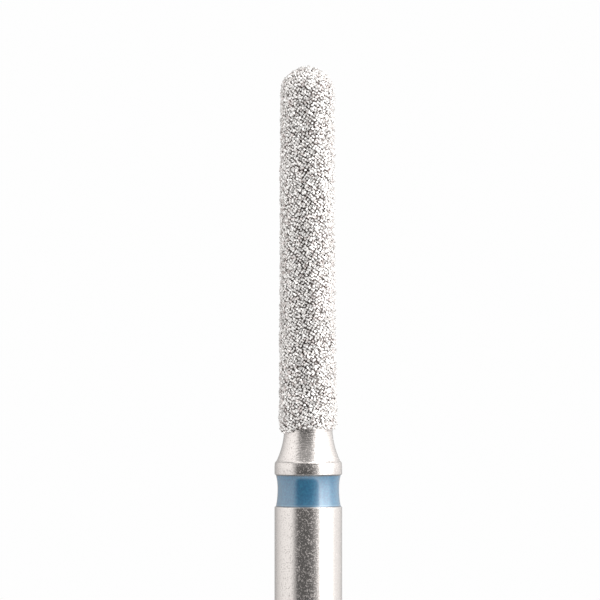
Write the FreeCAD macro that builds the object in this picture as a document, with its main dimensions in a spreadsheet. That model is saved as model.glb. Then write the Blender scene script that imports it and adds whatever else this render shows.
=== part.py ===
import FreeCAD, Part
import enum
import math
import os
import random

import Sketcher

# Round-ended diamond bur with a friction-grip shank, in millimetres.
# The origin is the centre of the shank's flat end and +Z runs along the axis to the cutting tip.

# Driving dimensions, kept in the document's spreadsheet
SIZES = {
    # Straight shank that the chuck grips, up to the lower rim of the colour band
    "shank_diameter": 1.60,
    "shank_length": 11.59,
    "end_chamfer": 0.20,
    # Groove in the steel and the lacquer that fills it
    "band_width": 0.75,
    "band_depth": 0.17,
    "band_edge_inset": 0.030,
    "band_waist_inset": 0.072,
    "band_waist_height": 0.43,
    # Collar between the colour band and the neck
    "collar_width": 0.25,
    "collar_top_round": 0.10,
    "rim_round": 0.025,
    # Hollow neck that thins from the collar to the head
    "neck_length": 0.78,
    "neck_curve_radius": 2.00,
    # Head, measured over the coating, and its steel core
    "head_length": 8.63,
    "core_base_diameter": 1.16,
    "core_tip_diameter": 1.05,
    # Diamond coating: clearance round the core, depth over it, rounded lower end and grit
    "coat_clearance": 0.001,
    "coat_thickness": 0.09,
    "coat_lip": 0.022,
    "coat_run_out": 0.22,
    "grain_pitch": 0.165,
    "grain_relief": 0.024,
}

# Shares of the grain pitch by which a grain may stray along the head and round it
STRAY_ALONG = 0.22
STRAY_ROUND = 0.20
# Rows of grains in the rounded lower end, and the smallest count of grains in a ring
RUN_OUT_ROWS = 2
MIN_RING_COUNT = 6
# Sides of the coating's inner wall round the core, and its rows over the core's dome
INNER_SIDE_COUNT = 48
INNER_DOME_ROWS = 6
GRIT_SEED = 107
# Distance within which two edges or points count as the same place
SAME_PLACE = 1e-4

# Heights along the axis, as expressions on the spreadsheet
BAND_BOTTOM = "Sizes.shank_length"
BAND_TOP = BAND_BOTTOM + " + Sizes.band_width"
COLLAR_TOP = BAND_TOP + " + Sizes.collar_width"
NECK_TOP = COLLAR_TOP + " + Sizes.neck_length"
CORE_TIP = NECK_TOP + " + Sizes.head_length - Sizes.coat_thickness"


class At(enum.IntEnum):
    """Points of a sketch edge, as the sketcher numbers them."""

    START = 1
    END = 2
    CENTRE = 3


class Axis(enum.IntEnum):
    """The sketch's own axes, as the sketcher numbers them; the first one starts at the origin."""

    ACROSS = -1
    UPRIGHT = -2


ORIGIN = (Axis.ACROSS, At.START)


def make_sheet(doc):
    """Spreadsheet that holds every driving dimension under its own name."""
    sheet = doc.addObject("Spreadsheet::Sheet", "Sizes")
    for row, (name, value) in enumerate(SIZES.items(), start=1):
        sheet.set(f"A{row}", name)
        sheet.set(f"B{row}", str(value))
        sheet.setAlias(f"B{row}", name)
    doc.recompute()
    return sheet


def make_body(doc, label):
    """Empty body with a label and a placement of its own."""
    body = doc.addObject("PartDesign::Body", label)
    body.Label = label
    body.Placement = FreeCAD.Placement()
    return body


def axial_sketch(body, name):
    """Sketch on the body's XZ plane: across is the radius, up is the height along the axis."""
    plane = next(item for item in body.Origin.OriginFeatures if item.Role == "XZ_Plane")
    sketch = body.newObject("Sketcher::SketchObject", name)
    sketch.AttachmentSupport = [(plane, "")]
    sketch.MapMode = "FlatFace"
    return sketch


def line(sketch, start, end):
    """Straight edge of a sketch from one (radius, height) to another."""
    ends = [FreeCAD.Vector(radius, height, 0) for radius, height in (start, end)]
    return sketch.addGeometry(Part.LineSegment(*ends), False)


def arc(sketch, centre, radius, first_degrees, last_degrees):
    """Anticlockwise arc of a sketch."""
    circle = Part.Circle(FreeCAD.Vector(centre[0], centre[1], 0), FreeCAD.Vector(0, 0, 1), radius)
    turn = Part.ArcOfCircle(circle, math.radians(first_degrees), math.radians(last_degrees))
    return sketch.addGeometry(turn, False)


def join(sketch, *pairs):
    """Makes the two points of each pair of (edge, point) one."""
    for (edge_a, point_a), (edge_b, point_b) in pairs:
        sketch.addConstraint(Sketcher.Constraint("Coincident", edge_a, point_a, edge_b, point_b))


def size(sketch, name, expression, kind, *where):
    """Dimension of a sketch, bound to an expression on the spreadsheet."""
    value = sketch.evalExpression(expression)
    index = sketch.addConstraint(Sketcher.Constraint(kind, *where, value))
    sketch.renameConstraint(index, name)
    sketch.setExpression(f"Constraints.{name}", expression)


def radius_and_height(sketch, name, place, radius, height):
    """Fixes a point of a sketch at a radius and a height, each an expression."""
    size(sketch, name + "_radius", radius, "DistanceX", *ORIGIN, *place)
    size(sketch, name + "_height", height, "DistanceY", *ORIGIN, *place)


def turn_about_axis(body, kind, name, sketch):
    """Full turn of a sketch about the body's axis, adding or removing material."""
    feature = body.newObject(kind, name)
    feature.Profile = sketch
    feature.ReferenceAxis = (sketch, ["V_Axis"])
    feature.Angle = 360
    body.Tip = feature
    return feature


def round_edges(shape, places):
    """Names of the circular edges at the given (radius, height) places."""
    names = []
    for number, edge in enumerate(shape.Edges, start=1):
        if edge.Degenerated or not isinstance(edge.Curve, Part.Circle):
            continue
        at = (edge.Curve.Radius, edge.Curve.Center.z)
        if any(math.dist(at, place) < SAME_PLACE for place in places):
            names.append(f"Edge{number}")
    if len(names) != len(places):
        raise ValueError(f"{len(names)} edges found at {places}")
    return names


def dress_edges(doc, body, kind, name, places, field, expression):
    """Fillet or chamfer on the circular edges at the given places."""
    base = body.Tip
    feature = body.newObject(kind, name)
    feature.Base = (base, round_edges(base.Shape, places))
    feature.setExpression(field, expression)
    body.Tip = feature
    doc.recompute()
    return feature


def draw_turned_profile(body, sheet):
    """Half section of the turned blank: shank, neck, tapered core and its domed tip."""
    sketch = axial_sketch(body, "turned_profile")
    shank_radius = sheet.shank_diameter / 2
    base_radius = sheet.core_base_diameter / 2
    tip_radius = sheet.core_tip_diameter / 2
    collar_top = sheet.shank_length + sheet.band_width + sheet.collar_width
    neck_top = collar_top + sheet.neck_length
    core_tip = neck_top + sheet.head_length - sheet.coat_thickness
    neck_centre = (base_radius + sheet.neck_curve_radius, neck_top)

    end_face = line(sketch, (0, 0), (shank_radius, 0))
    side = line(sketch, (shank_radius, 0), (shank_radius, collar_top))
    neck = arc(sketch, neck_centre, sheet.neck_curve_radius, 184, 207)
    taper = line(sketch, (base_radius, neck_top), (tip_radius, core_tip - tip_radius))
    dome = arc(sketch, (0, core_tip - tip_radius), tip_radius, 1, 90)
    axis = line(sketch, (0, core_tip), (0, 0))

    join(
        sketch,
        ((end_face, At.START), ORIGIN),
        ((end_face, At.END), (side, At.START)),
        ((side, At.END), (neck, At.END)),
        ((neck, At.START), (taper, At.START)),
        ((dome, At.END), (axis, At.START)),
        ((axis, At.END), ORIGIN),
    )
    sketch.addConstraint(Sketcher.Constraint("Horizontal", end_face))
    sketch.addConstraint(Sketcher.Constraint("Vertical", side))
    sketch.addConstraint(Sketcher.Constraint("Vertical", axis))
    sketch.addConstraint(Sketcher.Constraint("Tangent", taper, At.END, dome, At.START))
    sketch.addConstraint(Sketcher.Constraint("PointOnObject", dome, At.CENTRE, Axis.UPRIGHT))

    radius_and_height(sketch, "collar", (side, At.END), "Sizes.shank_diameter / 2", COLLAR_TOP)
    radius_and_height(sketch, "neck", (neck, At.START), "Sizes.core_base_diameter / 2", NECK_TOP)
    size(sketch, "neck_curve", "Sizes.neck_curve_radius", "Radius", neck)
    size(sketch, "dome_curve", "Sizes.core_tip_diameter / 2", "Radius", dome)
    size(sketch, "core_tip", CORE_TIP, "DistanceY", *ORIGIN, dome, At.END)
    return sketch


def draw_band_seat(body, sheet):
    """Section of the groove for the colour band, open to the outside of the shank."""
    sketch = axial_sketch(body, "band_seat_profile")
    floor = sheet.shank_diameter / 2 - sheet.band_depth
    outside = sheet.shank_diameter
    bottom = sheet.shank_length
    top = bottom + sheet.band_width
    corners = [(floor, bottom), (outside, bottom), (outside, top), (floor, top)]
    sides = [line(sketch, corner, corners[(i + 1) % 4]) for i, corner in enumerate(corners)]
    join(sketch, *(((side, At.END), (sides[(i + 1) % 4], At.START)) for i, side in enumerate(sides)))
    for i, side in enumerate(sides):
        direction = "Horizontal" if i % 2 == 0 else "Vertical"
        sketch.addConstraint(Sketcher.Constraint(direction, side))
    floor_radius = "Sizes.shank_diameter / 2 - Sizes.band_depth"
    radius_and_height(sketch, "floor", (sides[0], At.START), floor_radius, BAND_BOTTOM)
    radius_and_height(sketch, "outside", (sides[1], At.END), "Sizes.shank_diameter", BAND_TOP)
    return sketch


def make_steel_blank(doc, sheet):
    """Shank, groove, collar, neck and core, turned from one piece of steel."""
    body = make_body(doc, "steel_blank")
    turn_about_axis(body, "PartDesign::Revolution", "turned_form", draw_turned_profile(body, sheet))
    doc.recompute()
    volume_before = body.Shape.Volume
    turn_about_axis(body, "PartDesign::Groove", "band_seat", draw_band_seat(body, sheet))
    doc.recompute()
    if body.Shape.Volume >= volume_before:
        raise ValueError("the groove for the colour band removed nothing")

    radius = sheet.shank_diameter / 2
    band_bottom = sheet.shank_length
    band_top = band_bottom + sheet.band_width
    collar_top = band_top + sheet.collar_width
    dress_edges(
        doc, body, "PartDesign::Fillet", "collar_top_rounding",
        [(radius, collar_top)], "Radius", "Sizes.collar_top_round",
    )
    dress_edges(
        doc, body, "PartDesign::Fillet", "groove_rim_rounding",
        [(radius, band_bottom), (radius, band_top)], "Radius", "Sizes.rim_round",
    )
    dress_edges(
        doc, body, "PartDesign::Chamfer", "end_bevel",
        [(radius, 0)], "Size", "Sizes.end_chamfer",
    )
    return body


def make_colour_band(doc, sheet):
    """Ring of lacquer that fills the groove, its outer face drawn in to a waist as it dried."""
    body = make_body(doc, "colour_band")
    sketch = axial_sketch(body, "band_profile")
    floor = sheet.shank_diameter / 2 - sheet.band_depth
    edge = sheet.shank_diameter / 2 - sheet.band_edge_inset
    waist = sheet.shank_diameter / 2 - sheet.band_waist_inset
    bottom = sheet.shank_length
    top = bottom + sheet.band_width
    middle = bottom + sheet.band_waist_height
    centre = (waist + sheet.band_width, middle)

    lower = line(sketch, (floor, bottom), (edge, bottom))
    lower_face = arc(sketch, centre, sheet.band_width, 180, 205)
    upper_face = arc(sketch, centre, sheet.band_width, 155, 180)
    upper = line(sketch, (edge, top), (floor, top))
    inner = line(sketch, (floor, top), (floor, bottom))
    join(
        sketch,
        ((lower, At.END), (lower_face, At.END)),
        ((lower_face, At.START), (upper_face, At.END)),
        ((upper_face, At.START), (upper, At.START)),
        ((upper, At.END), (inner, At.START)),
        ((inner, At.END), (lower, At.START)),
    )
    sketch.addConstraint(Sketcher.Constraint("Horizontal", lower))
    sketch.addConstraint(Sketcher.Constraint("Horizontal", upper))
    sketch.addConstraint(Sketcher.Constraint("Vertical", inner))
    for face in (lower_face, upper_face):
        sketch.addConstraint(
            Sketcher.Constraint("Horizontal", face, At.CENTRE, lower_face, At.START)
        )

    edge_radius = "Sizes.shank_diameter / 2 - Sizes.band_edge_inset"
    waist_radius = "Sizes.shank_diameter / 2 - Sizes.band_waist_inset"
    waist_height = BAND_BOTTOM + " + Sizes.band_waist_height"
    floor_radius = "Sizes.shank_diameter / 2 - Sizes.band_depth"
    radius_and_height(sketch, "lower_edge", (lower, At.END), edge_radius, BAND_BOTTOM)
    radius_and_height(sketch, "upper_edge", (upper, At.START), edge_radius, BAND_TOP)
    radius_and_height(sketch, "waist", (lower_face, At.START), waist_radius, waist_height)
    size(sketch, "floor_radius", floor_radius, "DistanceX", *ORIGIN, inner, At.START)
    turn_about_axis(body, "PartDesign::Revolution", "lacquer_ring", sketch)
    doc.recompute()
    return body


def head_outline(sheet, depth):
    """Side and dome of the head at a depth over the steel core.

    Returns the radius and height where the side meets the neck's top, the dome's radius, the
    height of its centre, and the lean of the side from upright in radians.
    """
    neck_top = sheet.shank_length + sheet.band_width + sheet.collar_width + sheet.neck_length
    base_radius = sheet.core_base_diameter / 2
    tip_radius = sheet.core_tip_diameter / 2
    dome_centre = neck_top + sheet.head_length - sheet.coat_thickness - tip_radius

    # The side of the core is tangent to its dome
    rise = dome_centre - neck_top
    lean = math.acos(tip_radius / math.hypot(base_radius, rise)) - math.atan2(rise, base_radius)
    side_radius = base_radius + depth / math.cos(lean)
    return side_radius, neck_top, tip_radius + depth, dome_centre, lean


def coating_rows(sheet):
    """Rows of grains from the lower edge to the tip.

    Each row is (radius, height, lean): its place on the smooth outside of the coating and the
    angle by which the surface there leans back from upright, in radians.
    """
    outline = head_outline(sheet, sheet.coat_thickness)
    side_radius, neck_top, dome_radius, dome_centre, lean = outline
    side_bottom = neck_top + sheet.coat_run_out
    side_top = dome_centre + dome_radius * math.sin(lean)
    bottom_radius = side_radius - sheet.coat_run_out * math.tan(lean)
    top_radius = dome_radius * math.cos(lean)
    lip_radius = sheet.core_base_diameter / 2 + sheet.coat_lip

    rows = []
    for row in range(RUN_OUT_ROWS):
        turn = math.pi / 2 * row / RUN_OUT_ROWS
        radius = lip_radius + (bottom_radius - lip_radius) * math.sin(turn)
        height = side_bottom - sheet.coat_run_out * math.cos(turn)
        rows.append((radius, height, turn - math.pi / 2))

    side_rows = max(1, round((side_top - side_bottom) / sheet.grain_pitch))
    for row in range(side_rows):
        share = row / side_rows
        radius = bottom_radius + (top_radius - bottom_radius) * share
        rows.append((radius, side_bottom + (side_top - side_bottom) * share, lean))

    dome_rows = max(2, round(dome_radius * (math.pi / 2 - lean) / sheet.grain_pitch))
    for row in range(dome_rows):
        polar = lean + (math.pi / 2 - lean) * row / dome_rows
        radius = dome_radius * math.cos(polar)
        rows.append((radius, dome_centre + dome_radius * math.sin(polar), polar))
    return rows, dome_centre + dome_radius


def ring_of_grains(row, number, sheet, chance):
    """Points of one row, each a grain that stands proud or sits low, as (angle, point)."""
    radius, height, lean = row
    count = max(MIN_RING_COUNT, round(2 * math.pi * radius / sheet.grain_pitch))
    ring = []
    for grain in range(count):
        turn = (grain + 0.5 * (number % 2) + chance.uniform(-STRAY_ROUND, STRAY_ROUND)) / count
        angle = 2 * math.pi * turn
        proud = sheet.grain_relief * chance.uniform(-1, 1)
        along = sheet.grain_pitch * chance.uniform(-STRAY_ALONG, STRAY_ALONG)
        if number == 0:
            # The lowest ring stays level and outside the neck
            proud = abs(proud) / 2
            along = 0
            lean = 0
        reach = radius + proud * math.cos(lean) - along * math.sin(lean)
        level = height + proud * math.sin(lean) + along * math.cos(lean)
        ring.append((angle, FreeCAD.Vector(reach * math.cos(angle), reach * math.sin(angle), level)))
    return ring


def seat_rows(sheet):
    """Rows of the inner wall, as (radius, height) of its corners, and the height of its top.

    The wall is made of flats that stand just clear of the round core all over.
    """
    outline = head_outline(sheet, sheet.coat_clearance)
    side_radius, neck_top, dome_radius, dome_centre, lean = outline
    round_axis = math.cos(math.pi / INNER_SIDE_COUNT)
    step = (math.pi / 2 - lean) / INNER_DOME_ROWS
    corner_radius = dome_radius / math.cos(step / 2)
    rows = [(side_radius / round_axis, neck_top)]
    for row in range(INNER_DOME_ROWS):
        polar = lean + step * row
        radius = corner_radius * math.cos(polar) / round_axis
        rows.append((radius, dome_centre + corner_radius * math.sin(polar)))
    return rows, dome_centre + corner_radius / round_axis


def seat_ring(row):
    """Corners of one row of the inner wall, as (angle, point)."""
    radius, height = row
    angles = [2 * math.pi * side / INNER_SIDE_COUNT for side in range(INNER_SIDE_COUNT)]
    return [
        (angle, FreeCAD.Vector(radius * math.cos(angle), radius * math.sin(angle), height))
        for angle in angles
    ]


def facets_between(lower, upper):
    """Triangles that join two rings of (angle, point number), taken in order of angle."""
    facets = []
    low = 0
    high = 0
    full_turn = 2 * math.pi
    while low < len(lower) or high < len(upper):
        next_low = lower[(low + 1) % len(lower)][0] + full_turn * ((low + 1) // len(lower))
        next_high = upper[(high + 1) % len(upper)][0] + full_turn * ((high + 1) // len(upper))
        a = lower[low % len(lower)][1]
        b = upper[high % len(upper)][1]
        if high == len(upper) or (low < len(lower) and next_low <= next_high):
            low += 1
            facets.append((a, lower[low % len(lower)][1], b))
        else:
            high += 1
            facets.append((a, upper[high % len(upper)][1], b))
    return facets


def facets_to_tip(ring, tip):
    """Triangles that close a ring of (angle, point number) at one point."""
    numbers = [number for _, number in ring]
    return [(a, b, tip) for a, b in zip(numbers, numbers[1:] + numbers[:1])]


def faceted_wall(points, rings, tip_height):
    """Adds a wall that closes at the tip; gives its triangles and its lowest ring, numbered."""
    numbered = []
    for ring in rings:
        numbered.append([(angle, len(points) + i) for i, (angle, _) in enumerate(ring)])
        points.extend(point for _, point in ring)
    tip = len(points)
    points.append(FreeCAD.Vector(0, 0, tip_height))
    facets = []
    for lower, upper in zip(numbered, numbered[1:]):
        facets.extend(facets_between(lower, upper))
    facets.extend(facets_to_tip(numbered[-1], tip))
    return facets, numbered[0]


def grit_shell(sheet):
    """Solid of the coating: grit outside, a flat lower edge and an inner wall round the core."""
    chance = random.Random(GRIT_SEED)
    points = []
    rows, tip_height = coating_rows(sheet)
    rings = [ring_of_grains(row, number, sheet, chance) for number, row in enumerate(rows)]
    outside, outer_edge = faceted_wall(points, rings, tip_height)
    rows, seat_top = seat_rows(sheet)
    inside, inner_edge = faceted_wall(points, [seat_ring(row) for row in rows], seat_top)
    inside = [(a, c, b) for a, b, c in inside]
    facets = outside + inside + facets_between(inner_edge, outer_edge)

    surface = Part.Shape()
    surface.makeShapeFromMesh((points, facets), SAME_PLACE)
    solid = Part.Solid(Part.Shell(surface.Faces)).removeSplitter()
    if solid.Volume < 0:
        solid.reverse()
    return solid


def make_diamond_coating(doc, sheet):
    """Diamond grit bonded in nickel, one shell over the head's steel core."""
    coating = doc.addObject("Part::Feature", "diamond_coating")
    coating.Label = "diamond_coating"
    coating.Shape = grit_shell(sheet)
    coating.Placement = FreeCAD.Placement()
    return coating


def check(doc, parts):
    """Stops at any object that failed, and at any sub-part without one valid solid."""
    for item in doc.Objects:
        if "Invalid" in item.State or "Error" in item.State:
            raise ValueError(f"{item.Label} failed: {item.State}")
    for part in parts:
        shape = part.Shape
        if shape.isNull() or not shape.isValid() or len(shape.Solids) != 1:
            raise ValueError(f"{part.Label} is not one valid solid")


def main():
    doc = FreeCAD.newDocument("dental_bur")
    sheet = make_sheet(doc)
    blank = make_steel_blank(doc, sheet)
    band = make_colour_band(doc, sheet)
    coating = make_diamond_coating(doc, sheet)
    doc.recompute()
    parts = (blank, band, coating)
    check(doc, parts)
    os.makedirs("parts", exist_ok=True)
    for part in parts:
        part.Shape.exportStep(f"parts/{part.Label}.step")
        print(f"{part.Label}: {part.Shape.Volume:.4f} mm3, {len(part.Shape.Faces)} faces")


main()
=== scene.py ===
import logging
import math
import random
from dataclasses import dataclass
from enum import Enum
from typing import Callable, Mapping, Optional, Sequence, Union

import bmesh
import bpy
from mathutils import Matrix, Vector, noise


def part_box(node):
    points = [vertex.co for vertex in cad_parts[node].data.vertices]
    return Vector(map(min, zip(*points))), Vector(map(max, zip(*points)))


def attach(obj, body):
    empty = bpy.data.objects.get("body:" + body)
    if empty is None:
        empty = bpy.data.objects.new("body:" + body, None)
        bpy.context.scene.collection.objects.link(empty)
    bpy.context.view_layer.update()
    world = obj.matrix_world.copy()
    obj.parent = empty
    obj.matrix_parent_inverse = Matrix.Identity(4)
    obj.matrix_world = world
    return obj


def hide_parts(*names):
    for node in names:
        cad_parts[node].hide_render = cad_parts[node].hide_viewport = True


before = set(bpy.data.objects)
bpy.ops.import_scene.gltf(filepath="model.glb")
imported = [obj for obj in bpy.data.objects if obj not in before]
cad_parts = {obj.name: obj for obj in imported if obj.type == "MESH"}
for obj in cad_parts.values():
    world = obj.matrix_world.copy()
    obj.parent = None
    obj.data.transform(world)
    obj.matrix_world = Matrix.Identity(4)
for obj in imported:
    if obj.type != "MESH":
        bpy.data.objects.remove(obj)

# Round-ended diamond bur, in metres: satin steel blank, blue lacquer band and diamond grit head.
# The bur stands on its shank end at the origin, with its axis along +Z and the camera at -Y.

log = logging.getLogger("dental_bur")

MM = 0.001
BODY = "root"
HALF_TURN = 180.0
FULL_TURN = 360.0

Point = tuple[float, float]
Colour = tuple[float, float, float]
Triple = tuple[float, float, float]


class Slot(Enum):
    """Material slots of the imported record."""

    STEEL = "stainless_steel"
    LACQUER = "blue_lacquer"
    GRIT = "diamond_grit"


class Node(Enum):
    """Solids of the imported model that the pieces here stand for."""

    BLANK = "steel_blank"
    BAND = "colour_band"
    COATING = "diamond_coating"


# Node trees


class Wire:
    """One output of a node tree, on which arithmetic adds Math nodes."""

    def __init__(self, graph: "Graph", socket: bpy.types.NodeSocket) -> None:
        """Args:
            graph: The tree that the socket belongs to.
            socket: The output socket.
        """
        self.graph = graph
        self.socket = socket

    def math(self, operation: str, *others: "Value") -> "Wire":
        """Math node with this wire as its first value."""
        return self.graph.math(operation, self, *others)

    def __add__(self, other: "Value") -> "Wire":
        """This wire plus another value."""
        return self.graph.math("ADD", self, other)

    def __radd__(self, other: "Value") -> "Wire":
        """Another value plus this wire."""
        return self.graph.math("ADD", other, self)

    def __sub__(self, other: "Value") -> "Wire":
        """This wire less another value."""
        return self.graph.math("SUBTRACT", self, other)

    def __rsub__(self, other: "Value") -> "Wire":
        """Another value less this wire."""
        return self.graph.math("SUBTRACT", other, self)

    def __mul__(self, other: "Value") -> "Wire":
        """This wire times another value."""
        return self.graph.math("MULTIPLY", self, other)

    def __rmul__(self, other: "Value") -> "Wire":
        """Another value times this wire."""
        return self.graph.math("MULTIPLY", other, self)

    def __truediv__(self, other: "Value") -> "Wire":
        """This wire divided by another value."""
        return self.graph.math("DIVIDE", self, other)

    def __rtruediv__(self, other: "Value") -> "Wire":
        """Another value divided by this wire."""
        return self.graph.math("DIVIDE", other, self)

    def __neg__(self) -> "Wire":
        """This wire with its sign turned."""
        return self.graph.math("MULTIPLY", self, -1.0)


Value = Union[Wire, float, int, bool, str, Sequence[float], bpy.types.ID]


class Graph:
    """A node tree under construction."""

    def __init__(self, tree: bpy.types.NodeTree) -> None:
        """Args:
            tree: The tree to fill.
        """
        self.tree = tree

    def node(
        self,
        kind: str,
        settings: Optional[Mapping[str, object]] = None,
        inputs: Optional[Mapping[Union[str, int], Value]] = None,
    ) -> bpy.types.Node:
        """Adds a node.

        Args:
            kind: The node's type.
            settings: Its properties, set first. The key stops gives a ramp's (place, colour) list.
            inputs: Values or wires of its input sockets, by name or number.

        Returns:
            The new node.
        """
        made = self.tree.nodes.new(kind)
        for key, value in (settings or {}).items():
            if key == "stops":
                self._fill_ramp(made.color_ramp, value)
            else:
                setattr(made, key, value)
        for key, value in (inputs or {}).items():
            if isinstance(value, Wire):
                self.tree.links.new(value.socket, made.inputs[key])
            else:
                made.inputs[key].default_value = value
        return made

    def wire(
        self,
        kind: str,
        settings: Optional[Mapping[str, object]] = None,
        inputs: Optional[Mapping[Union[str, int], Value]] = None,
        output: Union[str, int] = 0,
    ) -> Wire:
        """Adds a node and gives one of its outputs.

        Args:
            kind: The node's type.
            settings: Its properties.
            inputs: Values or wires of its input sockets.
            output: Name or number of the output.

        Returns:
            The output as a wire.
        """
        return Wire(self, self.node(kind, settings, inputs).outputs[output])

    def math(self, operation: str, *values: Value) -> Wire:
        """Math node on one to three values."""
        inputs = dict(enumerate(values))
        return self.wire("ShaderNodeMath", {"operation": operation}, inputs)

    def ease(self, value: Wire, start: float, end: float) -> Wire:
        """Smooth step from 0 where value is start to 1 where it is end."""
        inputs = {"Value": value, "From Min": start, "From Max": end}
        settings = {"interpolation_type": "SMOOTHSTEP"}
        return self.wire("ShaderNodeMapRange", settings, inputs)

    def mix(self, factor: Value, first: Value, second: Value) -> Wire:
        """Colour that goes from first to second as factor goes from 0 to 1."""
        settings = {"data_type": "RGBA", "clamp_factor": True}
        inputs = {0: factor, 6: first, 7: second}
        return self.wire("ShaderNodeMix", settings, inputs, output=2)

    @staticmethod
    def _fill_ramp(ramp: bpy.types.ColorRamp, stops: Sequence[tuple[float, Colour]]) -> None:
        """Gives a colour ramp its stops."""
        while len(ramp.elements) < len(stops):
            ramp.elements.new(1.0)
        for element, (place, colour) in zip(ramp.elements, stops):
            element.position = place
            element.color = (*colour, 1.0)


class Surface(Graph):
    """Shader tree of one material, with one Principled shader."""

    def __init__(self, name: str) -> None:
        """Args:
            name: The material's name.
        """
        self.material = bpy.data.materials.new(name)
        self.material.use_nodes = True
        super().__init__(self.material.node_tree)
        self.shader = self.tree.nodes["Principled BSDF"]
        self.place = self.wire("ShaderNodeTexCoord", output="Object")

    def set(self, **values: Value) -> None:
        """Sets sockets of the shader, named with underscores for spaces."""
        for name, value in values.items():
            socket = self.shader.inputs[name.replace("_", " ")]
            if isinstance(value, Wire):
                self.tree.links.new(value.socket, socket)
            elif isinstance(value, tuple):
                socket.default_value = (*value, 1.0)
            else:
                socket.default_value = value

    def speckle(self, grain: float, detail: float = 2.0, stretch: Triple = (1, 1, 1)) -> Wire:
        """Noise from 0 to 1 in the object's own space.

        Args:
            grain: Size of one blotch, in metres.
            detail: Octaves of finer noise.
            stretch: Factors on the three coordinates, more than 1 for finer.

        Returns:
            The noise value.
        """
        place = self.wire(
            "ShaderNodeMapping", {"vector_type": "POINT"}, {"Vector": self.place, "Scale": stretch}
        )
        inputs = {"Vector": place, "Scale": 1.0 / grain, "Detail": detail, "Roughness": 0.6}
        return self.wire("ShaderNodeTexNoise", {"noise_dimensions": "3D"}, inputs)

    def shade_lines(self, cell: float, width: float, share: float) -> Wire:
        """Thin broken lines of painted shade between random cells, 1 on the lines.

        Args:
            cell: Size of one cell, in metres.
            width: Width of a line, in metres.
            share: About how much of the lines is drawn, from 0 to 1.

        Returns:
            The lines.
        """
        edge = self.wire(
            "ShaderNodeTexVoronoi", {"voronoi_dimensions": "3D", "feature": "DISTANCE_TO_EDGE"},
            {"Vector": self.place, "Scale": 1.0 / cell}, output="Distance",
        )
        patch, fade = 1.3, 0.03  # Size of the patches of drawn lines in cells, and their softness
        kept = self.speckle(cell * patch, detail=0.0)
        line = self.ease(edge, width / cell, width / cell / 2)
        return line * self.ease(kept, share + fade, share - fade)

    def height(self) -> Wire:
        """Height above the floor, in metres."""
        return self.wire("ShaderNodeSeparateXYZ", inputs={0: self.place}, output="Z")

    def bump(self, relief: Wire, depth: float) -> Wire:
        """Normal for a relief from 0 to 1 that is depth metres deep."""
        inputs = {"Strength": 1.0, "Distance": depth, "Height": relief}
        return self.wire("ShaderNodeBump", inputs=inputs, output="Normal")


# Finishes


@dataclass(frozen=True)
class SatinSteel:
    """Ground stainless steel with a fine speckle, and turning marks that show on the neck."""

    colour: Colour = (0.72, 0.678, 0.648)
    stain: Colour = (0.644, 0.597, 0.576)
    speckle_size: float = 0.034 * MM
    # Noise values between which a speckle turns from smooth to rough
    speckle_edge: Point = (0.48, 0.68)
    cloud_size: float = 0.9 * MM
    cloud_share: float = 0.35
    mark_pitch: float = 0.03 * MM
    mark_stretch: Triple = (0.2, 0.2, 1.0)
    # Weights of the speckle and the marks in the relief
    speckle_relief: float = 0.7
    plain_marks: float = 0.2
    neck_marks: float = 2.0
    fade: float = 0.05 * MM
    smooth: float = 0.11
    rough: float = 0.62
    relief: float = 0.0034 * MM

    def material(self, neck_bottom: float, neck_top: float) -> bpy.types.Material:
        """Builds the material.

        Args:
            neck_bottom: Height where the neck's turning marks start.
            neck_top: Height where they end.

        Returns:
            The material.
        """
        s = Surface("satin_steel")
        fine = s.speckle(self.speckle_size)
        cloud = s.speckle(self.cloud_size, detail=3.0)
        marks = s.speckle(self.mark_pitch, detail=1.0, stretch=self.mark_stretch)
        height = s.height()
        neck = s.ease(height, neck_bottom, neck_bottom + self.fade) * s.ease(
            height, neck_top + self.fade, neck_top
        )
        spots = s.ease(fine, *self.speckle_edge)
        tone = spots * (1.0 - self.cloud_share) + cloud * self.cloud_share
        marked = self.plain_marks + neck * self.neck_marks
        s.set(
            Base_Color=s.mix(tone, (*self.colour, 1.0), (*self.stain, 1.0)),
            Metallic=1.0,
            Roughness=self.smooth + spots * (self.rough - self.smooth),
            Normal=s.bump(fine * self.speckle_relief + marks * marked, self.relief),
        )
        return s.material


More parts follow.
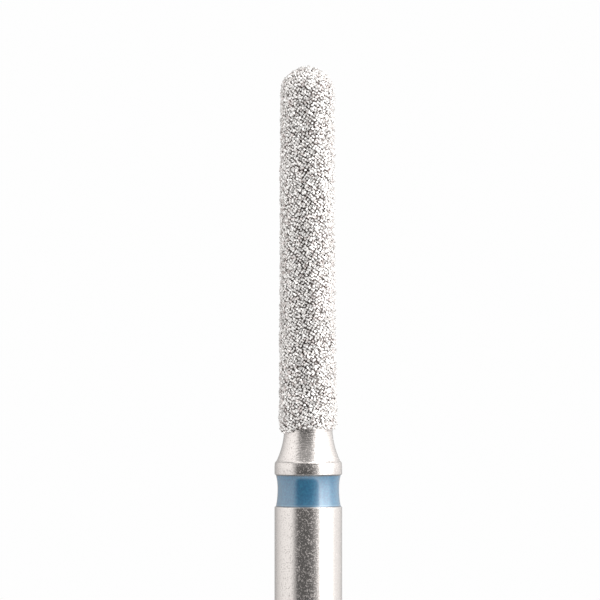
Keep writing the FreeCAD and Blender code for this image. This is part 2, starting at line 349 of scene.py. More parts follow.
@dataclass(frozen=True)
class BlueLacquer:
    """Glossy blue lacquer, with a thin line of painted shade where it meets the steel and a
    painted highlight over its lower rim.
    """

    colour: Colour = (0.008, 0.110, 0.226)
    light: Colour = (0.016, 0.164, 0.290)
    # Dark colour of the painted shade along each rim, where the lacquer meets the steel
    edge: Colour = (0.03, 0.06, 0.09)
    # Colour of the painted highlight on the lacquer's curl over its lower rim
    pale: Colour = (0.07, 0.19, 0.30)
    # Height of the painted highlight over the lower rim, and the shares of it where the highlight
    # ends
    highlight_height: float = 0.046 * MM
    highlight_ends: Point = (0.7, 1.4)
    mottle_size: float = 0.05 * MM
    mottle_edge: Point = (0.35, 0.7)
    shade_line_width: float = 0.035 * MM
    roughness: float = 0.34
    mottle_roughness: float = 0.12
    relief: float = 0.0012 * MM

    def material(self, bottom: float, top: float) -> bpy.types.Material:
        """Builds the material.

        Args:
            bottom: Height of the band's lower rim.
            top: Height of its upper rim.

        Returns:
            The material.
        """
        s = Surface("blue_lacquer")
        mottle = s.speckle(self.mottle_size, detail=3.0)
        height = s.height()
        from_edge = (height - bottom).math("MINIMUM", top - height)
        # Painted shade: a thin dark line along both rims, where the lacquer meets the steel
        edge = 1.0 - s.ease(from_edge, self.shade_line_width * 0.5, self.shade_line_width)
        body = s.mix(s.ease(mottle, *self.mottle_edge), (*self.colour, 1.0), (*self.light, 1.0))
        # Painted highlight on the lacquer's curl over its lower rim
        over = height - bottom
        low, high = (s.ease(over, self.highlight_height * end, self.highlight_height) for end in self.highlight_ends)
        body = s.mix(low * high, body, (*self.pale, 1.0))
        s.set(
            Base_Color=s.mix(edge, body, (*self.edge, 1.0)),
            Metallic=0.15,
            Roughness=self.roughness + mottle * self.mottle_roughness,
            Coat_Weight=1.0,
            Coat_Roughness=0.06,
            Coat_IOR=2.05,
            Normal=s.bump(mottle, self.relief),
        )
        return s.material


@dataclass(frozen=True)
class NickelBond:
    """Plated nickel between the grains, dull, its colour darkened into painted shade for the gaps.
    """

    # Both tones lie well under bare nickel: painted shade down in the gaps between the grains,
    # mottled at random by the nodules
    colour: Colour = (0.085, 0.070, 0.064)
    light: Colour = (0.30, 0.265, 0.250)
    nodule_size: float = 0.03 * MM
    nodule_edge: Point = (0.4, 0.7)
    smooth: float = 0.3
    rough: float = 0.6
    relief: float = 0.004 * MM

    def material(self) -> bpy.types.Material:
        """Builds the material."""
        s = Surface("nickel_bond")
        nodules = s.speckle(self.nodule_size, detail=3.0)
        s.set(
            Base_Color=s.mix(
                s.ease(nodules, *self.nodule_edge), (*self.colour, 1.0), (*self.light, 1.0)
            ),
            Metallic=1.0,
            Roughness=self.smooth + nodules * (self.rough - self.smooth),
            Normal=s.bump(nodules, self.relief),
        )
        return s.material


@dataclass(frozen=True)
class DiamondGrain:
    """Crushed diamond: flat bright facets, some grains glassy grey-pink."""

    colour: Colour = (0.99, 0.97, 0.95)
    glassy: Colour = (0.82, 0.76, 0.74)
    glassy_share: float = 0.18
    glassy_fade: float = 0.06
    # Painted shade: dark broken lines that stand for the shadowed cracks between the facets
    crevice_shade: Colour = (0.20, 0.165, 0.152)
    shade_cell: float = 0.047 * MM
    shade_width: float = 0.011 * MM
    shade_share: float = 0.25
    scratch_size: float = 0.02 * MM
    roughness: float = 0.16
    own_roughness: float = 0.12
    scratch_roughness: float = 0.06
    relief: float = 0.0015 * MM

    def material(self, attribute: str) -> bpy.types.Material:
        """Builds the material.

        Args:
            attribute: Name of the value from 0 to 1 that each grain carries.

        Returns:
            The material.
        """
        s = Surface("diamond_grain")
        own = s.wire("ShaderNodeAttribute", {"attribute_name": attribute}, output="Fac")
        fine = s.speckle(self.scratch_size)
        glassy = s.ease(own, self.glassy_share, self.glassy_share - self.glassy_fade)
        body = s.mix(glassy, (*self.colour, 1.0), (*self.glassy, 1.0))
        # Painted shade in the cracks between the facets
        shade_lines = s.shade_lines(self.shade_cell, self.shade_width, self.shade_share)
        s.set(
            Base_Color=s.mix(shade_lines, body, (*self.crevice_shade, 1.0)),
            Metallic=0.5,
            IOR=2.4,
            Specular_Tint=(0.4, 0.38, 0.37),
            Roughness=self.roughness + own * self.own_roughness + fine * self.scratch_roughness,
            Normal=s.bump(fine, self.relief),
        )
        return s.material


# Mesh helpers


def arc_points(centre: Point, radius: float, first: float, last: float, steps: int) -> list[Point]:
    """Points along an arc of an outline.

    Args:
        centre: Centre as (distance from the axis, height).
        radius: Radius of the arc.
        first: Angle of the first point, in degrees from the outward direction.
        last: Angle of the last point.
        steps: Number of straight steps.

    Returns:
        The points, from first to last.
    """
    points = []
    for step in range(steps + 1):
        angle = math.radians(first + (last - first) * step / steps)
        points.append((centre[0] + radius * math.cos(angle), centre[1] + radius * math.sin(angle)))
    return points


def straight_points(start: Point, end: Point, pitch: float) -> list[Point]:
    """Points from start to just before end, about pitch apart."""
    steps = max(1, round(math.dist(start, end) / pitch))
    shares = [step / steps for step in range(steps)]
    return [tuple(a + (b - a) * share for a, b in zip(start, end)) for share in shares]


Shift = Callable[[float, float, float], Vector]


def turned_mesh(
    name: str,
    outline: Sequence[Point],
    sides: int,
    closed: bool = False,
    place: Optional[Shift] = None,
) -> bpy.types.Mesh:
    """Mesh of an outline turned about the Z axis.

    Args:
        name: Name of the mesh.
        outline: (radius, height) points from bottom to top, or right round a ring's section.
        sides: Number of sides round the axis.
        closed: True where the outline is a loop that stays clear of the axis.
        place: Gives a vertex its place from (radius, height, angle); plain turning if left out.

    Returns:
        The closed mesh, with its faces outwards.
    """
    bm = bmesh.new()
    rows = []
    for radius, height in outline:
        if radius <= 0.0:
            rows.append([bm.verts.new((0.0, 0.0, height))])
            continue
        row = []
        for side in range(sides):
            angle = math.tau * side / sides
            spot = Vector((radius * math.cos(angle), radius * math.sin(angle), height))
            row.append(bm.verts.new(place(radius, height, angle) if place else spot))
        rows.append(row)
    pairs = list(zip(rows, rows[1:]))
    if closed:
        pairs.append((rows[-1], rows[0]))
    for low, high in pairs:
        for side in range(sides):
            after = (side + 1) % sides
            if len(low) == 1:
                bm.faces.new((low[0], high[after], high[side]))
            elif len(high) == 1:
                bm.faces.new((low[side], low[after], high[0]))
            else:
                bm.faces.new((low[side], low[after], high[after], high[side]))
    bmesh.ops.recalc_face_normals(bm, faces=bm.faces)
    mesh = bpy.data.meshes.new(name)
    bm.to_mesh(mesh)
    bm.free()
    return mesh


def smooth(mesh: bpy.types.Mesh, crease_degrees: float) -> None:
    """Shades a mesh smooth, but for edges sharper than the given angle."""
    mesh.shade_smooth()
    mesh.set_sharp_from_angle(angle=math.radians(crease_degrees))


def add_piece(mesh: bpy.types.Mesh, slot: Slot, *nodes: Node) -> bpy.types.Object:
    """Puts a finished mesh in the scene as a piece of the bur.

    Args:
        mesh: The mesh, in its place.
        slot: The record's material slot; not used.
        nodes: The solids that it stands for.

    Returns:
        The new object.
    """
    piece = bpy.data.objects.new(mesh.name, mesh)
    bpy.context.scene.collection.objects.link(piece)
    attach(piece, BODY)
    if nodes:
        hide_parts(*(node.value for node in nodes))
    triangles = sum(len(face.vertices) - 2 for face in mesh.polygons)
    log.info("%s: %d triangles", piece.name, triangles)
    return piece


# Main sizes


@dataclass(frozen=True)
class Datum:
    """Main sizes, in metres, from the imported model.

    The lacquer runs a hair over the lower rim of its groove, so the band and its groove start
    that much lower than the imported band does.
    """

    shank_radius: float
    band_bottom: float
    band_top: float
    neck_top: float
    tip: float

    @classmethod
    def from_frame(cls, overrun: float = 0.012 * MM) -> "Datum":
        """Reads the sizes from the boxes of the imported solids.

        Args:
            overrun: How far the lacquer runs over its lower rim.

        Returns:
            The sizes.
        """
        _, blank_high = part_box(Node.BLANK.value)
        band_low, band_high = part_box(Node.BAND.value)
        coat_low, coat_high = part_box(Node.COATING.value)
        return cls(
            shank_radius=blank_high[0],
            band_bottom=band_low[2] - overrun,
            band_top=band_high[2],
            neck_top=coat_low[2],
            tip=coat_high[2],
        )


# Pieces


@dataclass(frozen=True)
class SteelBlank:
    """Shank, groove, collar, neck and core, turned from one piece of steel."""

    datum: Datum
    groove_depth: float = 0.17 * MM
    rim_round: float = 0.022 * MM
    # Radius and turn in degrees of the rounding at the groove's lower rim
    low_rim_round: float = 0.0484 * MM
    low_rim_turn: float = 27.0
    end_bevel: float = 0.20 * MM
    end_round: float = 0.03 * MM
    # Radius of the ring of vertices in the flat end, as a share of the shank's
    end_ring: float = 0.3
    collar_width: float = 0.25 * MM
    # The collar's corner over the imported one, and the radius and turn of its bulging side
    collar_lift: float = 0.037 * MM
    collar_round: float = 1.00 * MM
    collar_turn: float = 8.0
    # Steps (inward, upward) of the fine lip that glints between the collar and the neck
    lip: tuple[Point, ...] = ((0.0135 * MM, 0.013 * MM), (0.0100 * MM, 0.012 * MM))
    neck_inset: float = 0.009 * MM
    neck_top_radius: float = 0.58 * MM
    neck_curve: float = 2.0 * MM
    # Radius of the core's foot, as a share of the neck's top
    core_share: float = 0.999
    core_tip_radius: float = 0.525 * MM
    # Angle in degrees at which the core's dome ends, just before its tip
    core_tip_turn: float = 86.0
    coat_depth: float = 0.09 * MM
    crease: float = 32.0
    sides: int = 180
    pitch: float = 0.25 * MM
    core_pitch: float = 1.0 * MM
    bevel_steps: int = 4
    rim_steps: int = 6
    neck_steps: int = 36
    core_steps: int = 12

    def neck_points(self) -> list[Point]:
        """Hollow curve from the collar up to the head."""
        d = self.datum
        low = (d.shank_radius, d.band_top + self.collar_width)
        high = (self.neck_top_radius, d.neck_top)
        chord = math.dist(low, high)
        chord_lean = math.degrees(math.atan2(low[0] - high[0], high[1] - low[1]))
        half_turn = math.degrees(math.asin(chord / 2 / self.neck_curve))
        top_lean = chord_lean - half_turn
        centre = (
            high[0] + self.neck_curve * math.cos(math.radians(top_lean)),
            high[1] + self.neck_curve * math.sin(math.radians(top_lean)),
        )
        low_lean = chord_lean + half_turn
        return arc_points(
            centre, self.neck_curve, HALF_TURN + low_lean, HALF_TURN + top_lean, self.neck_steps
        )

    def outline(self) -> list[Point]:
        """Outline of the blank from the centre of its end to the tip of its core."""
        d = self.datum
        radius = d.shank_radius
        floor = radius - self.groove_depth
        rim = self.rim_round
        collar_top = d.band_top + self.collar_width
        drop = self.collar_round * math.sin(math.radians(self.collar_turn))
        shoulder = (radius - self.collar_round, collar_top + self.collar_lift - drop)
        collar = arc_points(shoulder, self.collar_round, 0, self.collar_turn, self.rim_steps)
        for inward, upward in self.lip:
            collar.append((collar[-1][0] - inward, collar[-1][1] + upward))
        neck = [
            (point[0] - self.neck_inset, point[1])
            for point in self.neck_points() if point[1] > collar[-1][1]
        ]

        points = [(0.0, 0.0), (radius * self.end_ring, 0.0)]
        points += [(radius - self.end_bevel - self.end_round, 0.0)]
        points += arc_points(
            (radius - self.end_bevel - self.end_round, self.end_round), self.end_round,
            -90, -45, self.bevel_steps,
        )
        points += arc_points(
            (radius - self.end_round, self.end_bevel + self.end_round), self.end_round,
            -45, 0, self.bevel_steps,
        )
        points += straight_points(
            (radius, self.end_bevel + 2 * self.end_round), (radius, d.band_bottom - 2 * rim),
            self.pitch,
        )
        edge = self.low_rim_round
        points += arc_points(
            (radius - edge, d.band_bottom - edge * math.sin(math.radians(self.low_rim_turn))),
            edge, 0, self.low_rim_turn, self.rim_steps,
        )
        points += [(floor, d.band_bottom), (floor, d.band_top)]
        points += arc_points((radius - rim, d.band_top + rim), rim, -90, 0, self.rim_steps)
        points += collar + neck
        core_top = d.tip - self.coat_depth - self.core_tip_radius
        points += straight_points(
            (self.neck_top_radius * self.core_share, d.neck_top + self.rim_round),
            (self.core_tip_radius, core_top), self.core_pitch,
        )
        points += arc_points(
            (0.0, core_top), self.core_tip_radius, 0, self.core_tip_turn, self.core_steps
        )
        points += [(0.0, d.tip - self.coat_depth)]
        return points

    def build(self) -> bpy.types.Object:
        """Builds and dresses the blank."""
        mesh = turned_mesh("turned_steel_blank", self.outline(), self.sides)
        smooth(mesh, self.crease)
        d = self.datum
        mesh.materials.append(SatinSteel().material(d.band_top + self.collar_width, d.neck_top))
        return add_piece(mesh, Slot.STEEL, Node.BLANK)


@dataclass(frozen=True)
class ColourBand:
    """Lacquer in the groove, its face drawn in to a waist."""

    datum: Datum
    floor_inset: float = 0.169 * MM
    edge_inset: float = 0.028 * MM
    waist_inset: float = 0.072 * MM
    waist_share: float = 0.57
    roundness: float = 0.78
    # The lacquer curls out over its lower rim
    curl: float = 0.014 * MM
    curl_width: float = 0.010 * MM
    crease: float = 50.0
    steps: int = 60
    sides: int = 180

    def outline(self) -> list[Point]:
        """Section of the lacquer ring, right round."""
        d = self.datum
        edge = d.shank_radius - self.edge_inset
        waist = d.shank_radius - self.waist_inset
        floor = d.shank_radius - self.floor_inset
        width = d.band_top - d.band_bottom
        flare = 1.0 - math.sqrt(1.0 - self.roundness ** 2)
        face = []
        for step in range(self.steps + 1):
            share = step / self.steps
            side = self.waist_share if share < self.waist_share else 1.0 - self.waist_share
            off = abs(share - self.waist_share) / side
            rise = 1.0 - math.sqrt(1.0 - (self.roundness * off) ** 2)
            climb = self.curl * math.exp(-width * share / self.curl_width)
            out = waist + (edge - waist) * rise / flare + climb
            face.append((out, d.band_bottom + width * share))
        return [(floor, d.band_bottom)] + face + [(floor, d.band_top)]

    def build(self) -> bpy.types.Object:
        """Builds and dresses the band."""
        mesh = turned_mesh("lacquer_band", self.outline(), self.sides, closed=True)
        smooth(mesh, self.crease)
        mesh.materials.append(BlueLacquer().material(self.datum.band_bottom, self.datum.band_top))
        return add_piece(mesh, Slot.LACQUER, Node.BAND)


@dataclass(frozen=True)
class HeadShape:
    """Outside of the head over the grains, and the ragged lower edge of the coating."""

    datum: Datum
    tip_radius: float = 0.641 * MM
    base_radius: float = 0.690 * MM
    flare_power: float = 2.2
    # Height over which the coating runs out at its lower edge
    run_out: float = 0.21 * MM
    edge_radius: float = 0.605 * MM
    # Share of the depth by which a deeper outline's lower edge is drawn in
    edge_draw: float = 0.3
    off_true: float = -0.021 * MM
    off_true_height: float = 4.5 * MM
    # The ragged lower edge: size of its lobes, and its mean lift and lift to the right in lobes
    lobe: float = 0.04 * MM
    lobe_count: float = 3.0
    lobe_mean: float = 1.2
    lobe_right: float = 1.3
    lobe_height: float = 0.5 * MM

    def place(self, radius: float, height: float, angle: float) -> Vector:
        """Place of a vertex; the head runs a hair off true, to the left towards its tip.

        Args:
            radius: Distance from the axis.
            height: Height above the floor.
            angle: Angle round the axis.

        Returns:
            The place.
        """
        above = height - self.datum.neck_top
        share = min(1.0, max(0.0, above / self.off_true_height))
        shift = self.off_true * share * (2.0 - share)
        # Angle from the front, where the lower edge sits higher than beside it
        turn = angle + math.pi / 2
        lobes = math.cos(self.lobe_count * turn) + self.lobe_right * math.sin(turn)
        lift = self.lobe * (self.lobe_mean + lobes) * max(0.0, 1.0 - above / self.lobe_height)
        return Vector((radius * math.cos(angle) + shift, radius * math.sin(angle), height + lift))

    def radius(self, height: float) -> float:
        """Radius over the grains on the side of the head."""
        d = self.datum
        low = d.neck_top + self.run_out
        high = d.tip - self.tip_radius
        share = min(1.0, max(0.0, (high - height) / (high - low)))
        return self.tip_radius + (self.base_radius - self.tip_radius) * share ** self.flare_power

    def outline(self, depth: float, pitch: float) -> list[Point]:
        """Outline of the head at a depth under the grain tops, from the lower edge to the tip.

        Args:
            depth: Depth under the grain tops.
            pitch: Distance between points.

        Returns:
            The outline's points.
        """
        d = self.datum
        low = d.neck_top + self.run_out
        high = d.tip - self.tip_radius
        points = []
        steps = max(2, round(self.run_out / pitch))
        base = self.radius(low) - depth
        edge = min(self.edge_radius, base) - depth * self.edge_draw
        for step in range(steps):
            turn = math.pi / 2 * step / steps
            points.append((
                edge + (base - edge) * math.sin(turn), low - self.run_out * math.cos(turn)
            ))
        for radius, height in straight_points((0.0, low), (0.0, high), pitch):
            points.append((self.radius(height) - depth, height))
        dome = self.tip_radius - depth
        steps = round(dome * math.pi / 2 / pitch)
        points += arc_points((0.0, high), dome, 0, 90, steps)[:-1]
        points.append((0.0, high + dome))
        return points


@dataclass(frozen=True)
class BondLayer:
    """Nickel plating in which the grains sit, over the whole head."""

    datum: Datum
    shape: HeadShape
    depth: float = 0.048 * MM
    inner_inset: float = 0.02 * MM
    pitch: float = 0.05 * MM
    crease: float = 60.0
    sides: int = 88
    lump: float = 0.005 * MM
    lump_size: float = 0.16 * MM

    def place(self, radius: float, height: float, angle: float) -> Vector:
        """Place of a vertex, raised or lowered by the lumps of the plating."""
        out = Vector((math.cos(angle), math.sin(angle), 0.0))
        seen = self.shape.place(radius, height, angle)
        fade = min(1.0, max(0.0, (height - self.datum.neck_top) / (4 * self.pitch)))
        lift = self.lump * noise.noise(seen / self.lump_size) * fade
        return seen + out * lift

    def build(self) -> bpy.types.Object:
        """Builds and dresses the plating."""
        outline = self.shape.outline(self.depth, self.pitch)
        low = self.datum.neck_top
        bottom = [(0.0, low), (outline[0][0] - self.inner_inset, low)]
        mesh = turned_mesh("nickel_bond", bottom + outline, self.sides, place=self.place)
        smooth(mesh, self.crease)
        mesh.materials.append(NickelBond().material())
        return add_piece(mesh, Slot.GRIT, Node.COATING)


@dataclass(frozen=True)
class GrainShapes:
    """A few crushed crystals, each a splinter of a block with corners and edges broken off."""

    count: int = 14
    cuts: int = 3
    nearest_cut: float = 0.80
    farthest_cut: float = 1.10
    # Ranges of the half lengths of a crystal's three sides
    sides: tuple[Point, ...] = ((0.60, 0.80), (0.75, 0.95), (1.00, 1.35))
    seed: int = 41

    def block(self, chance: random.Random, number: int) -> bpy.types.Object:
        """One crystal about one unit in radius.

        Args:
            chance: Source of the random cuts.
            number: The crystal's number, for its name.

        Returns:
            The crystal, not linked to the scene.
        """
        bm = bmesh.new()
        bmesh.ops.create_cube(bm, size=2.0)
        for _ in range(self.cuts):
            normal = Vector(chance.gauss(0.0, 1.0) for _ in range(3)).normalized()
            off = chance.uniform(self.nearest_cut, self.farthest_cut)
            cut = bmesh.ops.bisect_plane(
                bm, geom=bm.verts[:] + bm.edges[:] + bm.faces[:], plane_co=normal * off,
                plane_no=normal, clear_outer=True,
            )
            rim = [item for item in cut["geom_cut"] if isinstance(item, bmesh.types.BMEdge)]
            if rim:
                bmesh.ops.contextual_create(bm, geom=rim)
        stretch = Vector(chance.uniform(*side) for side in self.sides)
        bmesh.ops.scale(bm, vec=stretch, verts=bm.verts)
        bmesh.ops.recalc_face_normals(bm, faces=bm.faces)
        mesh = bpy.data.meshes.new(f"crystal_{number}")
        bm.to_mesh(mesh)
        bm.free()
        return bpy.data.objects.new(mesh.name, mesh)

    def collection(self) -> bpy.types.Collection:
        """All crystals in a collection of their own, not linked to the scene."""
        chance = random.Random(self.seed)
        group = bpy.data.collections.new("crystals")
        for number in range(self.count):
            group.objects.link(self.block(chance, number))
        return group


class Draw(Enum):
    """Random draws for each grain, as offsets to the seed."""

    STRAY = 5
    LEAN = 11
    SIZE = 17
    OWN = 23


@dataclass(frozen=True)
class GritCoat:
    """Crushed diamond set in the plating, leaning and sized at random by a node tree."""

    datum: Datum
    shape: HeadShape
    depth: float = 0.040 * MM
    spacing: float = 0.069 * MM
    # How far a seat strays by itself, and how far and over what length whole rows sway
    stray: float = 0.014 * MM
    sway: float = 0.05 * MM
    sway_length: float = 0.25 * MM
    # Radius of the crystals, and their greatest lean in radians
    smallest: float = 0.028 * MM
    largest: float = 0.036 * MM
    tilt: float = 0.35
    seed: int = 3
    own_value: str = "grain"

    def seats(self) -> bpy.types.Object:
        """Even spiral of points over the head, one for each grain, as a mesh without faces."""
        golden_angle = math.pi * (3.0 - math.sqrt(5.0))
        # Area round one grain where neighbours stand in triangles
        cell = self.spacing ** 2 * math.sqrt(3.0) / 2
        outline = self.shape.outline(self.depth, self.spacing / 4)
        points = []
        covered = 0.0
        for low, high in zip(outline, outline[1:]):
            area = math.pi * (low[0] + high[0]) * math.dist(low, high)
            while (len(points) + 0.5) * cell < covered + area:
                share = ((len(points) + 0.5) * cell - covered) / area
                radius, height = (a + (b - a) * share for a, b in zip(low, high))
                points.append(self.shape.place(radius, height, golden_angle * len(points)))
            covered += area
        mesh = bpy.data.meshes.new("grain_seats")
        mesh.from_pydata(points, [], [])
        seats = bpy.data.objects.new("grain_seats", mesh)
        bpy.context.scene.collection.objects.link(seats)
        return seats

    def tree(self) -> bpy.types.NodeTree:
        """Node tree that sets a crystal at each point, moved, leant and sized at random."""
        tree = bpy.data.node_groups.new("set_grains", "GeometryNodeTree")
        face = tree.interface
        for name, kind in (
            ("Geometry", "Geometry"), ("Crystals", "Collection"), ("Finish", "Material"),
            ("Stray", "Float"), ("Smallest", "Float"), ("Largest", "Float"),
            ("Tilt", "Float"), ("Dome", "Float"), ("Sway", "Float"), ("Seed", "Int"),
        ):
            face.new_socket(name, in_out="INPUT", socket_type=f"NodeSocket{kind}")
        face.new_socket("Geometry", in_out="OUTPUT", socket_type="NodeSocketGeometry")

        g = Graph(tree)
        group = g.node("NodeGroupInput")
        given = {socket.name: Wire(g, socket) for socket in group.outputs if socket.name}
        crystals = g.wire(
            "GeometryNodeCollectionInfo", {"transform_space": "ORIGINAL"},
            {"Collection": given["Crystals"], "Separate Children": True, "Reset Children": True},
        )
        seed = given["Seed"]
        # Each seat strays by itself, and a smooth noise sways the rows that they stand in
        stray = g.wire(
            "FunctionNodeRandomValue", {"data_type": "FLOAT_VECTOR"},
            {0: (-1.0, -1.0, -1.0), 1: (1.0, 1.0, 1.0), "Seed": seed + Draw.STRAY.value}, output=0,
        )
        offset = g.wire(
            "ShaderNodeVectorMath", {"operation": "SCALE"}, {0: stray, "Scale": given["Stray"]}
        )
        sway = g.wire(
            "ShaderNodeTexNoise", inputs={"Scale": 1.0 / self.sway_length, "Detail": 0.0},
            output="Color",
        )
        sway = g.wire(
            "ShaderNodeVectorMath", {"operation": "SUBTRACT"}, {0: sway, 1: (0.5, 0.5, 0.5)}
        )
        sway = g.wire(
            "ShaderNodeVectorMath", {"operation": "SCALE"}, {0: sway, "Scale": given["Sway"]}
        )
        offset = g.wire("ShaderNodeVectorMath", {"operation": "ADD"}, {0: offset, 1: sway})
        spots = g.wire(
            "GeometryNodeSetPosition", inputs={"Geometry": given["Geometry"], "Offset": offset}
        )
        # Each crystal stands up from the surface, leans at random and is spun at random
        place = g.node("ShaderNodeSeparateXYZ", inputs={0: g.wire("GeometryNodeInputPosition")})
        across, along, up = (Wire(g, place.outputs[i]) for i in range(3))
        outward = g.wire(
            "ShaderNodeCombineXYZ",
            inputs={0: across, 1: along, 2: (up - given["Dome"]).math("MAXIMUM", 0.0)},
        )
        upright = g.wire("FunctionNodeAlignRotationToVector", {"axis": "Z"}, {"Vector": outward})
        tilt = given["Tilt"]
        lean = g.wire("ShaderNodeCombineXYZ", inputs={0: tilt, 1: tilt, 2: math.pi})
        chance = g.wire(
            "FunctionNodeRandomValue", {"data_type": "FLOAT_VECTOR"},
            {0: (-1.0, -1.0, -1.0), 1: (1.0, 1.0, 1.0), "Seed": seed + Draw.LEAN.value}, output=0,
        )
        lean = g.wire("ShaderNodeVectorMath", {"operation": "MULTIPLY"}, {0: lean, 1: chance})
        turn = g.wire(
            "FunctionNodeRotateRotation", {"rotation_space": "LOCAL"}, {0: upright, 1: lean}
        )
        scale = g.wire(
            "FunctionNodeRandomValue", {"data_type": "FLOAT"},
            {2: given["Smallest"], 3: given["Largest"], "Seed": seed + Draw.SIZE.value}, output=1,
        )
        grains = g.wire(
            "GeometryNodeInstanceOnPoints",
            inputs={"Points": spots, "Instance": crystals, "Pick Instance": True,
                    "Rotation": turn, "Scale": scale},
        )
        own = g.wire(
            "FunctionNodeRandomValue", {"data_type": "FLOAT"},
            {2: 0.0, 3: 1.0, "Seed": seed + Draw.OWN.value}, output=1,
        )
        marked = g.wire(
            "GeometryNodeStoreNamedAttribute", {"data_type": "FLOAT", "domain": "INSTANCE"},
            {"Geometry": grains, "Name": self.own_value, "Value": own},
        )
        real = g.wire("GeometryNodeRealizeInstances", inputs={0: marked})
        dressed = g.wire(
            "GeometryNodeSetMaterial", inputs={"Geometry": real, "Material": given["Finish"]}
        )
        g.node("NodeGroupOutput", inputs={0: dressed})
        return tree

    def build(self) -> bpy.types.Object:
        """Sets the grains and turns them into one plain mesh."""
        seats = self.seats()
        tree = self.tree()
        modifier = seats.modifiers.new("grains", "NODES")
        modifier.node_group = tree
        values = {
            "Crystals": GrainShapes().collection(),
            "Finish": DiamondGrain().material(self.own_value),
            "Stray": self.stray,
            "Smallest": self.smallest,
            "Largest": self.largest,
            "Tilt": self.tilt,
            "Dome": self.datum.tip - self.shape.tip_radius,
            "Sway": self.sway,
            "Seed": self.seed,
        }
        for item in tree.interface.items_tree:
            if item.in_out == "INPUT" and item.name in values:
                modifier[item.identifier] = values[item.name]
        ready = seats.evaluated_get(bpy.context.evaluated_depsgraph_get())
        mesh = bpy.data.meshes.new_from_object(ready)
        mesh.name = "diamond_grains"
        bpy.data.objects.remove(seats)
        return add_piece(mesh, Slot.GRIT)


# Studio


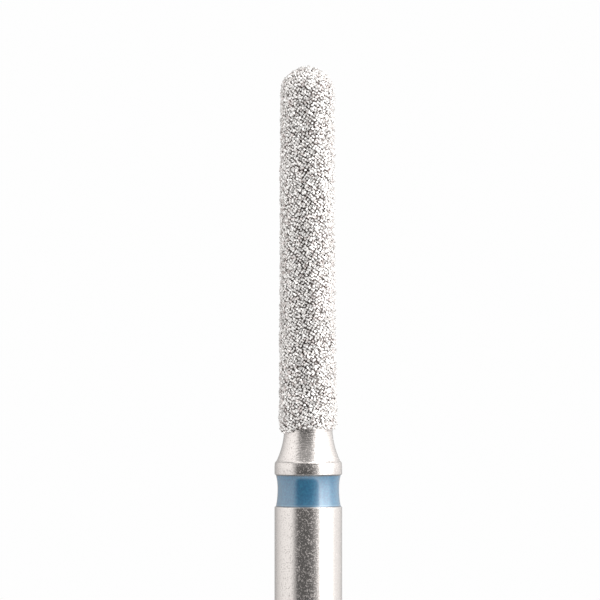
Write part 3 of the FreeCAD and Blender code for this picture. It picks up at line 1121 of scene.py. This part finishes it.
@dataclass(frozen=True)
class Studio:
    """White surroundings with a softbox on each side and a dark gap round the lens."""

    white: Colour = (0.99, 0.99, 0.99)
    floor_colour: Colour = (0.81, 0.81, 0.81)
    floor_radius: float = 150 * MM
    floor_sides: int = 96
    fade_start: float = 45 * MM
    fade_end: float = 110 * MM
    # Brightness by azimuth in degrees, from 0 at the lens, with the right side positive
    ring: tuple[Point, ...] = (
        (-180.0, 0.42), (-146.0, 0.62), (-128.0, 0.87), (-104.0, 1.17), (-80.0, 1.27),
        (-20.0, 1.27), (15.0, 1.62), (34.0, 3.10), (50.0, 3.20), (60.0, 2.80), (82.0, 2.50),
        (93.0, 1.66), (103.0, 1.34), (125.0, 1.19), (143.0, 0.92), (180.0, 0.42),
    )
    # Share of that light left in the gap, by azimuth
    gap: tuple[Point, ...] = (
        (-64.0, 1.0), (-57.0, 0.88), (-50.0, 0.58), (-43.0, 0.28), (-37.0, 0.12), (0.0, 0.10),
        (8.0, 0.12), (16.0, 0.16), (24.0, 0.20), (30.0, 0.24), (37.0, 0.36), (44.0, 1.0),
    )
    # Pairs below are the elevations, in degrees, between which a part of the light changes.
    # The gap's foot and head, where it gets paler, and where part of that is taken back
    gap_low: Point = (-30.0, -19.0)
    gap_high: Point = (82.0, 64.0)
    gap_paler: Point = (-4.0, 46.0)
    paler_share: float = 0.29
    gap_dim: Point = (46.0, 56.0)
    dim_share: float = 0.5
    # The gap's foot rises in round corners: their middle and reach by azimuth, and their lift
    corner_turn: Point = (-8.0, 44.0)
    corner_lift: float = 9.0
    corner_most: float = 2.0
    # Shares of the light low down and high up, and the share lost straight below
    from_below: Point = (-38.0, 20.0)
    low_share: float = 0.64
    high_share: float = 1.09
    dark_below: Point = (-46.0, -64.0)
    below_share: float = 0.82
    # The softbox on the right, between two pairs of azimuths, is weaker towards its foot
    softbox_side: Point = (10.0, 50.0)
    softbox_back: Point = (135.0, 90.0)
    softbox_rise: Point = (-40.0, 34.0)
    softbox_low: float = -0.42
    softbox_gain: float = 0.78
    # Less light comes from above and behind: by elevation, and by the direction's Y
    behind_rise: Point = (34.0, 58.0)
    behind_side: Point = (0.0, 0.5)
    behind_loss: float = 0.8

    @staticmethod
    def share_of_turn(azimuth: float) -> float:
        """Azimuth in degrees as a number from 0 to 1 for -180 to 180."""
        return (azimuth + HALF_TURN) / FULL_TURN

    @staticmethod
    def ramp(g: Graph, turn: Wire, stops: Sequence[Point], scale: float) -> Wire:
        """Value by azimuth.

        Args:
            g: The tree.
            turn: The azimuth, from 0 to 1 for -180 to 180 degrees.
            stops: (azimuth, value) pairs.
            scale: Value that the ramp's white stands for.

        Returns:
            The value.
        """
        shades = [(Studio.share_of_turn(place), (value / scale,) * 3) for place, value in stops]
        return g.wire("ShaderNodeValToRGB", {"stops": shades}, {0: turn}) * scale

    def build_world(self) -> None:
        """Surroundings that light the bur and show in its steel; the lens sees plain white."""
        world = bpy.data.worlds.new("studio")
        world.use_nodes = True
        bpy.context.scene.world = world
        g = Graph(world.node_tree)
        toward = g.wire("ShaderNodeTexCoord", output="Generated")
        split = g.node("ShaderNodeSeparateXYZ", inputs={0: toward})
        across, along, up = (Wire(g, split.outputs[i]) for i in range(3))
        turn = across.math("ARCTAN2", -along) / math.tau + 0.5
        rise = up.math("ARCSINE") * math.degrees(1.0)
        ring = self.ramp(g, turn, self.ring, max(value for _, value in self.ring))
        gap = self.ramp(g, turn, self.gap, 1.0)
        centre, reach = self.corner_turn
        off = (turn * FULL_TURN - (HALF_TURN + centre)) / reach
        corner = (off * off).math("POWER", 3.0).math("MINIMUM", self.corner_most)
        corner = corner * self.corner_lift
        window = g.ease(rise - corner, *self.gap_low) * g.ease(rise, *self.gap_high)
        paler = g.ease(rise, *self.gap_paler) - g.ease(rise, *self.gap_dim) * self.dim_share
        window = window * (1.0 - paler * self.paler_share)
        gain = self.high_share - self.low_share
        height = self.low_share + g.ease(rise, *self.from_below) * gain
        height = height * (1.0 - g.ease(rise, *self.dark_below) * self.below_share)
        aside = g.ease(turn, *map(self.share_of_turn, self.softbox_side))
        aside = aside * g.ease(turn, *map(self.share_of_turn, self.softbox_back))
        lean = self.softbox_low + g.ease(rise, *self.softbox_rise) * self.softbox_gain
        behind = g.ease(rise, *self.behind_rise) * g.ease(along, *self.behind_side)
        light = ring * height * (1.0 + aside * lean) * (1.0 - window * (1.0 - gap))
        light = light * (1.0 - behind * self.behind_loss)
        camera = g.wire("ShaderNodeLightPath", output="Is Camera Ray")
        back = g.tree.nodes["Background"]
        back.inputs["Color"].default_value = (*self.white, 1.0)
        g.tree.links.new((light + camera * (1.0 - light)).socket, back.inputs["Strength"])

    def build_floor(self) -> bpy.types.Object:
        """Round pale floor that fades into the white surroundings far from the bur.

        The steel doesn't show it, as if the bur were held up in the light.

        Returns:
            The floor.
        """
        bm = bmesh.new()
        bmesh.ops.create_circle(
            bm, cap_ends=True, segments=self.floor_sides, radius=self.floor_radius
        )
        mesh = bpy.data.meshes.new("floor")
        bm.to_mesh(mesh)
        bm.free()
        floor = bpy.data.objects.new("floor", mesh)
        bpy.context.scene.collection.objects.link(floor)
        s = Surface("pale_floor")
        s.set(Base_Color=self.floor_colour, Roughness=0.9, Specular_IOR_Level=0.1)
        far = s.wire("ShaderNodeVectorMath", {"operation": "LENGTH"}, {0: s.place}, output="Value")
        path = s.node("ShaderNodeLightPath")
        camera, glossy = (Wire(s, path.outputs[f"Is {kind} Ray"]) for kind in ("Camera", "Glossy"))
        glow = s.wire("ShaderNodeEmission", inputs={"Color": (*self.white, 1.0), "Strength": 1.0})
        faded = s.wire(
            "ShaderNodeMixShader",
            inputs={0: s.ease(far, self.fade_start, self.fade_end) * camera,
                    1: Wire(s, s.shader.outputs[0]), 2: glow},
        )
        clear = s.wire("ShaderNodeBsdfTransparent")
        held_up = s.wire("ShaderNodeMixShader", inputs={0: glossy, 1: faded, 2: clear})
        s.tree.links.new(held_up.socket, s.tree.nodes["Material Output"].inputs["Surface"])
        mesh.materials.append(s.material)
        return floor


@dataclass(frozen=True)
class Viewpoint:
    """Level camera a hand's width in front of the bur, as in the photograph."""

    distance: float = 150 * MM
    left_of_axis: float = 0.197 * MM
    height: float = 16.472 * MM
    frame_width: float = 14.2 * MM
    sensor: float = 36.0
    nearest: float = 10 * MM
    farthest: float = 10.0

    def build(self) -> bpy.types.Object:
        """Makes the camera and sets it."""
        data = bpy.data.cameras.new("camera")
        data.sensor_width = self.sensor
        data.lens = self.sensor * self.distance / self.frame_width
        data.clip_start = self.nearest
        data.clip_end = self.farthest
        camera = bpy.data.objects.new("camera", data)
        camera.location = (-self.left_of_axis, -self.distance, self.height)
        camera.rotation_euler = (math.radians(90.0), 0.0, 0.0)
        bpy.context.scene.collection.objects.link(camera)
        bpy.context.scene.camera = camera
        return camera


def main() -> None:
    """Builds the studio and the bur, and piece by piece."""
    logging.basicConfig(level=logging.INFO, format="%(name)s: %(message)s")
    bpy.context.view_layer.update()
    scene = bpy.context.scene
    scene.view_settings.view_transform = "Standard"
    Viewpoint().build()
    studio = Studio()
    studio.build_world()
    studio.build_floor()

    datum = Datum.from_frame()
    shape = HeadShape(datum)
    SteelBlank(datum).build()
    ColourBand(datum).build()
    BondLayer(datum, shape).build()
    GritCoat(datum, shape).build()


if __name__ == "__main__":
    main()
